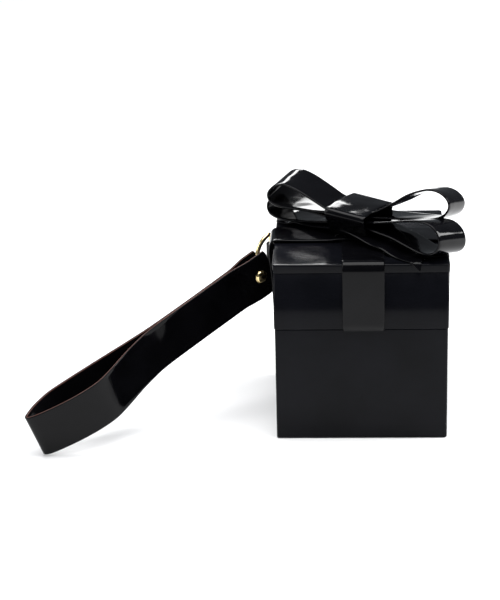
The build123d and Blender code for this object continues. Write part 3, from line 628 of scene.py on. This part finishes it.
def bow_line(yaw, points):
    """The middle and the width direction of a loop, through points of (along, height, tilt)."""
    line = through(points)
    along, back = level_direction(yaw), level_direction(yaw + 90)
    middle = BOW_CENTRE + line[:, :1] * along + line[:, 1:2] * np.array([0, 0, 1.0])
    tilt = np.radians(line[:, 2:3])
    return middle, np.cos(tilt) * back + np.sin(tilt) * np.array([0, 0, 1.0])


def bow_piece(name, middle, across, node, **shape):
    width = shape.pop("width", RIBBON_WIDTH)
    mesh = ribbon_mesh(name, middle, across, width, RIBBON, **shape)
    return make_piece(name, mesh, "lid", patent_ribbon, "patent_ribbon", node)


def fork(place):
    """How far the forked end is cut back, across its width."""
    return FORK * (1 - abs(place) / (RIBBON_WIDTH / 2))


TAIL_YAW = -45
middle, across = bow_line(TAIL_YAW, [
    (-53, 108.2, 0), (-45, 108.3, 0), (-37, 110.9, 0), (-27, 111.2, 0), (-13, 113.0, 0), (0, 114.6, 0),
    (12, 114.0, 0), (25, 111.4, 0), (34, 111.0, 0), (41, 109.2, 0), (47, 108.3, 0), (56, 108.1, 0),
    (65.5, 108.1, 0)])
middle += TAIL_SHIFT * level_direction(TAIL_YAW + 90)
tail = bow_piece("bow_tail", middle, across, "bow_tail_strip", trim_start=fork, trim_end=fork)
LID_EDGE = -TOP_HALF * MM
DROOP = math.radians(72)
EDGE_GAP = 0.0004
for vert in tail.data.vertices:          # the front prong hangs over the lid's edge
    beyond = LID_EDGE - vert.co.y
    if beyond > 0:
        vert.co.y = LID_EDGE - beyond * math.cos(DROOP) - EDGE_GAP
        vert.co.z -= beyond * math.sin(DROOP)

middle, across = bow_line(-43, [
    (0, 119.4, -3), (14, 119.9, -6), (25, 121.6, -8), (37, 124.2, -10), (47.4, 127.0, -10),
    (57.7, 128.9, -10), (64.5, 128.5, -10), (69.4, 125.6, -10), (71.6, 121.5, -10), (71.6, 117, -10),
    (69, 113.3, -10), (64.5, 111, -10), (58, 110.4, -10), (50.5, 111.6, -10), (37, 114.9, -8),
    (28, 116.1, -6), (16, 117.3, -4), (0, 117.9, -3)])
bow_piece("bow_lower_right", middle, across, "bow_lower_loops")

middle, across = bow_line(-40, [
    (0, 119.2, 0), (-14, 119.6, 2), (-30, 120.4, 3), (-45, 121.4, 3), (-54, 122.2, 3), (-59.4, 120.8, 3),
    (-61.2, 117, 3), (-59.5, 113, 3), (-55, 111.3, 3), (-48, 110.9, 3), (-38, 112, 2), (-25, 113.8, 1),
    (-13.5, 115.6, 0), (0, 116.8, 0)])
bow_piece("bow_lower_left", middle, across, "bow_lower_loops")

middle, across = bow_line(-26, [
    (0, 124.6, 3), (-13, 125.6, 5), (-22, 129.8, 7), (-33.5, 135.4, 8), (-42, 137.8, 8), (-49, 136.4, 8),
    (-53.4, 131.6, 8), (-52.6, 127.0, 8), (-48, 124.6, 8), (-41, 123.7, 7), (-28, 123.5, 6),
    (-13.5, 123.4, 4), (0, 123.0, 3)])
bow_piece("bow_upper_left", middle, across, "bow_upper_loops")

middle, across = bow_line(-26, [
    (0, 124.4, -3), (13, 124.6, -6), (27, 131.4, -10), (37, 137.6, -12), (46, 141.4, -12), (51.5, 142.3, -12),
    (56.5, 141.4, -12), (60.6, 138.6, -12), (62.4, 135, -12), (61.6, 131.2, -12), (58.8, 128, -12),
    (54.5, 125.8, -12), (48, 124.6, -11), (38, 123.8, -9), (25, 123.0, -7), (12, 122.4, -5), (0, 122.8, -3)])
bow_piece("bow_upper_right", middle, across, "bow_upper_loops")

KNOT_CENTRE = np.array([-0.7, -1.2, 0.0])
KNOT_YAW = -30
KNOT_WIDTH = 26.0
KNOT_TILT = math.radians(-5)           # the knot slopes down to the right
KNOT_LOW = 110.9
KNOT_SIDE = 17.4           # half the knot, from its front to its back
KNOT_FOOT = 11.0           # its walls lean in to this at the bottom
section = bent([
    (0, KNOT_LOW), (-KNOT_FOOT, KNOT_LOW), (-KNOT_SIDE, 123.4), (-KNOT_SIDE, 126.6), (0, 128.0),
    (KNOT_SIDE, 126.8), (KNOT_SIDE, 123.4), (KNOT_FOOT, KNOT_LOW), (0, KNOT_LOW)],
    [2.5, 1.4, 1.4, 90, 1.4, 1.4, 2.5])
knot_line = (KNOT_CENTRE + section[:, :1] * level_direction(KNOT_YAW + 90)
             + section[:, 1:] * np.array([0, 0, 1.0]))
knot_across = level_direction(KNOT_YAW) * math.cos(KNOT_TILT) + np.array([0, 0, math.sin(KNOT_TILT)])
bow_piece("bow_knot", knot_line, knot_across, "bow_knot_band", width=KNOT_WIDTH, closed=True)
dress(brass, "bow_rivet")

# ---- Ring tab, rivet and D-ring ----------------------------------------------------------
# A patent leather strip is folded round the straight side of a gilt brass D-ring, and one
# domed rivet fastens both its ends through the lid's left wall.

BAR = np.array([-53.6, 26.0])          # the ring's straight side, seen from above
TAB_HEIGHT = 16.0
TAB_LEATHER = 1.3
TAB_END = 45.0
TAB_RIVET_SEAT = -52.6
TAB_RIVET_BACK = 38.5      # how far behind the middle of the lid the rivet is
ring_low, ring_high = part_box("d_ring")
RING_Z = (ring_low.z + ring_high.z) / 2 / MM

LOOP_RADIUS = 2.35         # the leather's middle, where it goes round the ring's bar
OUTER_LEG = -51.95
INNER_LEG = -50.66
loop = []
for turn in (155, 190, 225, 260, 295, 330, 365):
    angle = math.radians(turn)
    loop.append((BAR[0] + LOOP_RADIUS * math.cos(angle), BAR[1] + LOOP_RADIUS * math.sin(angle)))
tab_line = through([(OUTER_LEG, TAB_END), (OUTER_LEG, 39), (OUTER_LEG, 34.5), (-53.4, 31.2)] + loop
                   + [(-50.75, 29.6), (INNER_LEG, 34), (INNER_LEG, 39), (INNER_LEG, TAB_END)])
tab_line = np.column_stack([tab_line, np.full(len(tab_line), RING_Z)])


def rounded_end(low_radius, high_radius, width):
    """How far a strip with rounded end corners is cut back, across its width."""
    def cut(place):
        radius = high_radius if place > 0 else low_radius
        past = min(radius, max(0.0, abs(place) - (width / 2 - radius)))
        return radius - math.sqrt(radius**2 - past**2)
    return cut


tab_end = rounded_end(5.0, 5.0, TAB_HEIGHT)
tab = ribbon_mesh("ring_tab_folded", tab_line, (0, 0, 1), TAB_HEIGHT, TAB_LEATHER, tab_end, tab_end)
make_piece("ring_tab_folded", tab, "lid", patent_ribbon, "patent_ribbon", "ring_tab")


def turned(name, outline, foot, direction, steps=40):
    """A piece turned on a lathe: outline is (radius, height) above its foot, in millimetres."""
    builder = bmesh.new()
    rings = []
    for radius, height in outline:
        if radius == 0:
            rings.append([builder.verts.new((0, 0, height * MM))])
            continue
        rings.append([builder.verts.new((radius * MM * math.cos(step / steps * math.tau),
                                         radius * MM * math.sin(step / steps * math.tau), height * MM))
                      for step in range(steps)])
    for low, high in zip(rings, rings[1:]):
        for step in range(steps):
            after = (step + 1) % steps
            corners = [low[step % len(low)], low[after % len(low)],
                       high[after % len(high)], high[step % len(high)]]
            builder.faces.new(list(dict.fromkeys(corners)))
    turn = Vector(direction).to_track_quat("Z", "Y").to_matrix().to_4x4()
    builder.transform(Matrix.Translation(Vector(foot) * MM) @ turn)
    bmesh.ops.recalc_face_normals(builder, faces=builder.faces)
    mesh = bpy.data.meshes.new(name)
    builder.to_mesh(mesh)
    builder.free()
    return mesh


POST_RADIUS = 1.4
ROLLED_RIM = 0.35


def dome(radius, height, post, steps=10):
    """The outline of a domed head with a rolled rim, on a post that goes post millimetres down."""
    rim = ROLLED_RIM
    head = [(0, -post), (POST_RADIUS, -post), (POST_RADIUS, 0), (radius - rim, 0),
            (radius, rim * 0.5), (radius - rim * 0.4, rim)]
    start = radius - rim * 0.9
    for step in range(steps + 1):
        angle = step / steps * math.pi / 2
        head.append((start * math.cos(angle) if step < steps else 0, rim + (height - rim) * math.sin(angle)))
    return head


seat = (TAB_RIVET_SEAT, TAB_RIVET_BACK, RING_Z)
tab_rivet = turned("tab_rivet_domed", dome(3.4, 1.5, 5.3), seat, (-1, 0, 0))
make_piece("tab_rivet_domed", tab_rivet, "lid", brass, "brass", "tab_rivet")
dress(brass, "d_ring")

# ---- Wrist strap -------------------------------------------------------------------------
# One long strip, patent on both faces over a red-brown leather core that shows at its edge,
# folded end to end into a loop. Its ends are riveted round a tongue that holds the D-ring.

RING_YAW = 37
DROOP_ANGLE = math.radians(22)
ARC_INSET = 4.0            # the ring's curve is centred this far behind its bar
STRAP_SLIP = 4.35          # the strap's middle hangs this far below the ring's middle
RIVET_REACH = 17.5         # from the centre of the ring's curve to the strap's rivet
STRAP_WIDTH = 28.0
STRAP_SKIN = 0.8
STRAP_LINING = 0.6
outward = -level_direction(RING_YAW)
backward = level_direction(RING_YAW + 90)
along_strap = outward * math.cos(DROOP_ANGLE) - np.array([0, 0, math.sin(DROOP_ANGLE)])
across_strap = outward * math.sin(DROOP_ANGLE) + np.array([0, 0, math.cos(DROOP_ANGLE)])
ring_centre = np.array([BAR[0], BAR[1], RING_Z]) - outward * ARC_INSET
strap_start = ring_centre - across_strap * STRAP_SLIP
rivet = strap_start + along_strap * RIVET_REACH

# The outside of the strap, as (distance from the rivet, height towards the back). STACK is how
# far its outer face lies from its middle at the riveted ends.
STACK = 4.05
STRAP_LINE = [
    (-8.6, -STACK), (0, -STACK), (5, -3.9), (11, -2.7), (17, -1.7), (32, -1.5), (52, -1.45), (77, -1.8),
    (89, -3.7), (101, -7.1), (113.5, -11.6), (124, -14.5), (134, -14.4), (144, -12.6), (153.5, -9.7),
    (163, -5.9), (168, -2.9), (169.7, 0.2), (167.6, 2.6), (161.5, 5.7), (155, 7.7), (147, 8.9), (136, 8.2),
    (122, 6.8), (108, 5.2), (93, 3.4), (76, 1.9), (52, 1.45), (32, 1.5), (17, 1.7), (11, 2.7), (5, 3.9),
    (0, STACK), (-5.8, STACK)]
outside = through(STRAP_LINE)
heading = unit(np.gradient(outside, axis=0))
inward = np.column_stack([-heading[:, 1], heading[:, 0]])


def strap_layer(depth):
    """The middle of a layer of the strap, depth millimetres inside its outer face."""
    flat = outside + inward * depth
    return rivet + flat[:, :1] * along_strap + flat[:, 1:] * backward


strap_end = rounded_end(8.0, 2.0, STRAP_WIDTH)
skin = ribbon_mesh("strap_patent", strap_layer(STRAP_SKIN / 2), across_strap, STRAP_WIDTH, STRAP_SKIN,
                   strap_end, strap_end)
make_piece("strap_patent", skin, "strap", patent_ribbon, "patent_ribbon", "strap_skin")

brown_edge, nodes, links, shader = new_material("brown_edge")
fibres = grain(nodes, links, 0.0008, 4, (1, 1, 1), 0.7)
links.new(ramp(nodes, links, fibres, (0.05, 0.014, 0.009), (0.11, 0.032, 0.018)), shader.inputs["Base Color"])
links.new(relief(nodes, links, fibres, 0.00004), shader.inputs["Normal"])
shader.inputs["Roughness"].default_value = 0.6
lining = ribbon_mesh("strap_lining_patent", strap_layer(STRAP_SKIN + STRAP_LINING / 2), across_strap,
                     STRAP_WIDTH - 0.2, STRAP_LINING, strap_end, strap_end)
lining = make_piece("strap_lining_patent", lining, "strap", patent_ribbon, "strap_lining", "strap_lining")
lining.data.materials.append(brown_edge)
edge_place = (STRAP_WIDTH / 2 - STRAP_LINING) * MM
for face in lining.data.polygons:
    if abs((face.center - Vector(strap_start) * MM).dot(Vector(across_strap))) > edge_place:
        face.material_index = 1
dress(patent_ribbon, "strap_tongue")

front_rivet = turned("strap_rivet_domed", dome(4.1, 2.2, 2 * STACK), rivet - backward * STACK, -backward)
make_piece("strap_rivet_domed", front_rivet, "strap", brass, "brass", "strap_rivet")
back_rivet = turned("strap_rivet_back_domed", dome(3.6, 0.9, 0.5), rivet + backward * STACK, backward)
make_piece("strap_rivet_back_domed", back_rivet, "strap", brass, "brass", "strap_rivet_back")
